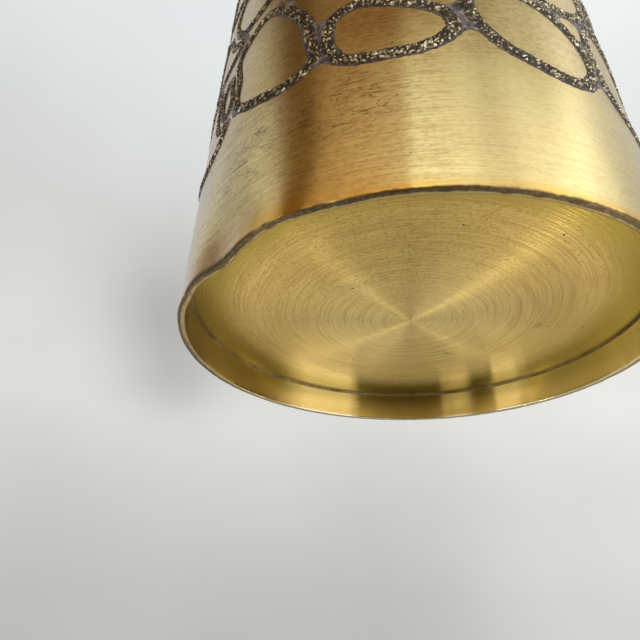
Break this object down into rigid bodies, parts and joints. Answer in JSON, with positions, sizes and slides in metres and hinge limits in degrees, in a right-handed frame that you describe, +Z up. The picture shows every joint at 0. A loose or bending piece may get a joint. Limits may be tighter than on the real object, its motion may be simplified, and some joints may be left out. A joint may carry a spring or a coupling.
{
  "type": "pen holder cup",
  "caption": "Round brass desk cup for pens, open at the top, with a flat base set up inside the wall and a raised pattern of rough braze beads in rounded loops.",
  "frame": {"origin": "centre of the wall's lower edge, on the surface that the cup stands on", "axes": "+Z up the axis of the cup to the open mouth, -Y to the front of the pattern, +X to the right of it"},
  "size_m": [0.0771, 0.0771, 0.1016],
  "materials": {
    "brushed_wall": "lacquered brass, brushed round the tube, with fine scratches and a tarnished lower edge",
    "turned_base": "lathe-turned brass with fine concentric lines and a few small stains",
    "solder": "dull solder fillet, slightly darkened",
    "bead_metal": "rough granular brazing metal, dark brown with bright gold tips and grey-blue smooth edges"
  },
  "bodies": {
    "root": {"tube_wall": "brushed_wall", "base_disc": "turned_base", "base_solder": "solder", "bead_loop_01": "bead_metal", "bead_loop_02": "bead_metal", "bead_loop_03": "bead_metal", "bead_loop_04": "bead_metal", "bead_loop_05": "bead_metal", "bead_strand_06": "bead_metal", "bead_loop_07": "bead_metal", "bead_loop_08": "bead_metal", "bead_loop_09": "bead_metal", "bead_loop_10": "bead_metal", "bead_loop_11": "bead_metal", "bead_loop_12": "bead_metal", "bead_loop_13": "bead_metal", "bead_loop_14": "bead_metal", "bead_loop_15": "bead_metal", "bead_loop_16": "bead_metal", "bead_loop_17": "bead_metal", "bead_loop_18": "bead_metal", "bead_loop_19": "bead_metal", "bead_loop_20": "bead_metal", "bead_loop_21": "bead_metal", "bead_loop_22": "bead_metal", "bead_loop_23": "bead_metal", "bead_loop_24": "bead_metal", "bead_loop_25": "bead_metal", "bead_loop_26": "bead_metal", "bead_loop_27": "bead_metal", "bead_loop_28": "bead_metal", "bead_loop_29": "bead_metal", "bead_loop_30": "bead_metal", "bead_loop_31": "bead_metal", "bead_loop_32": "bead_metal", "bead_loop_33": "bead_metal", "bead_loop_34": "bead_metal", "bead_loop_35": "bead_metal", "bead_loop_36": "bead_metal", "bead_loop_37": "bead_metal", "bead_loop_38": "bead_metal", "bead_loop_39": "bead_metal", "bead_loop_40": "bead_metal", "bead_loop_41": "bead_metal", "bead_loop_42": "bead_metal", "bead_loop_43": "bead_metal", "bead_loop_44": "bead_metal", "bead_loop_45": "bead_metal", "bead_loop_46": "bead_metal", "bead_loop_47": "bead_metal", "bead_loop_48": "bead_metal", "bead_loop_49": "bead_metal", "bead_loop_50": "bead_metal", "bead_loop_51": "bead_metal"}
  },
  "joints": []
}
